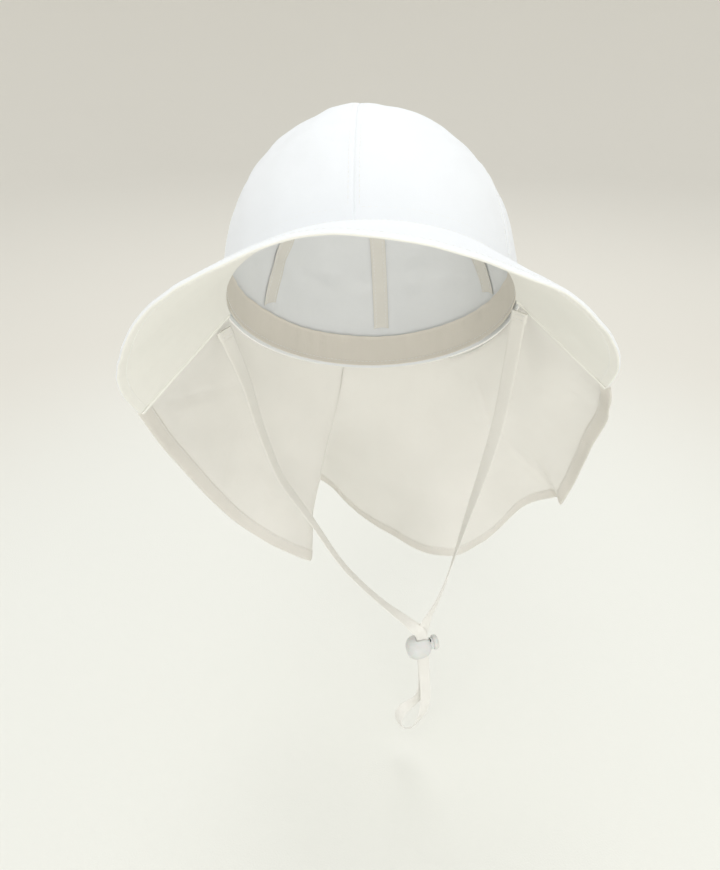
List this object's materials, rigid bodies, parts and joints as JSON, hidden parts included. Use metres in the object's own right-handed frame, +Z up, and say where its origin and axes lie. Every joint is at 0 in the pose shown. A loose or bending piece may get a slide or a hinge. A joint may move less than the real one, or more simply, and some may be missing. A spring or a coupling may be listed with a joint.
{
  "type": "sun hat with neck flap",
  "caption": "Child's soft cotton sun hat: panelled crown, wide front brim, long thin neck flap and a hanging flat chin strap with a push-button cord lock.",
  "frame": {"origin": "middle of the crown's opening, where the wearer's head or the display form comes in (mount head_seat)", "axes": "+Z up, -Y towards the hat's front, +X to the right seen from the front; the crown is tipped 47 degrees back and leans 4 degrees, as it sits on its round display form"},
  "size_m": [0.2707, 0.2533, 0.4861],
  "materials": {
    "crown_cotton": "matt white plain-weave cotton",
    "brim_cotton": "matt white plain-weave cotton",
    "brim_lining": "matt cream plain-weave cotton",
    "interlining": "stiff white non-woven cloth",
    "flap_cotton": "thin matt off-white cotton, slightly see-through",
    "sweatband": "matt cream cotton tape",
    "seam_tape": "matt off-white bias tape",
    "strap_tape": "flat woven ivory cotton tape",
    "lock_plastic": "frosted translucent off-white plastic",
    "spring_steel": "drawn spring wire"
  },
  "bodies": {
    "hat": {"crown_panel_front_right": "crown_cotton", "crown_panel_side_right": "crown_cotton", "crown_panel_back_right": "crown_cotton", "crown_panel_back_left": "crown_cotton", "crown_panel_side_left": "crown_cotton", "crown_panel_front_left": "crown_cotton", "seam_tape_1": "seam_tape", "seam_tape_2": "seam_tape", "seam_tape_3": "seam_tape", "sweatband": "sweatband", "brim_top": "brim_cotton", "brim_interlining": "interlining", "brim_under": "brim_lining", "flap": "flap_cotton", "chin_strap": "strap_tape", "strap_tab_left": "strap_tape", "strap_tab_right": "strap_tape"},
    "lock": {"lock_barrel": "lock_plastic", "lock_spring": "spring_steel"},
    "button": {"lock_plunger": "lock_plastic"}
  },
  "joints": [
    {"name": "lock_slide", "type": "slide", "parent": "hat", "child": "lock", "axis": [0.0829, 0.0269, -0.9962], "range_m": [0, 0.022]},
    {"name": "button_press", "type": "slide", "parent": "lock", "child": "button", "axis": [-0.9474, -0.3078, -0.0872], "range_m": [0, 0.0022], "stiffness_N_per_m": 250, "springref_m": -0.003, "deforming": ["lock_spring"]}
  ]
}
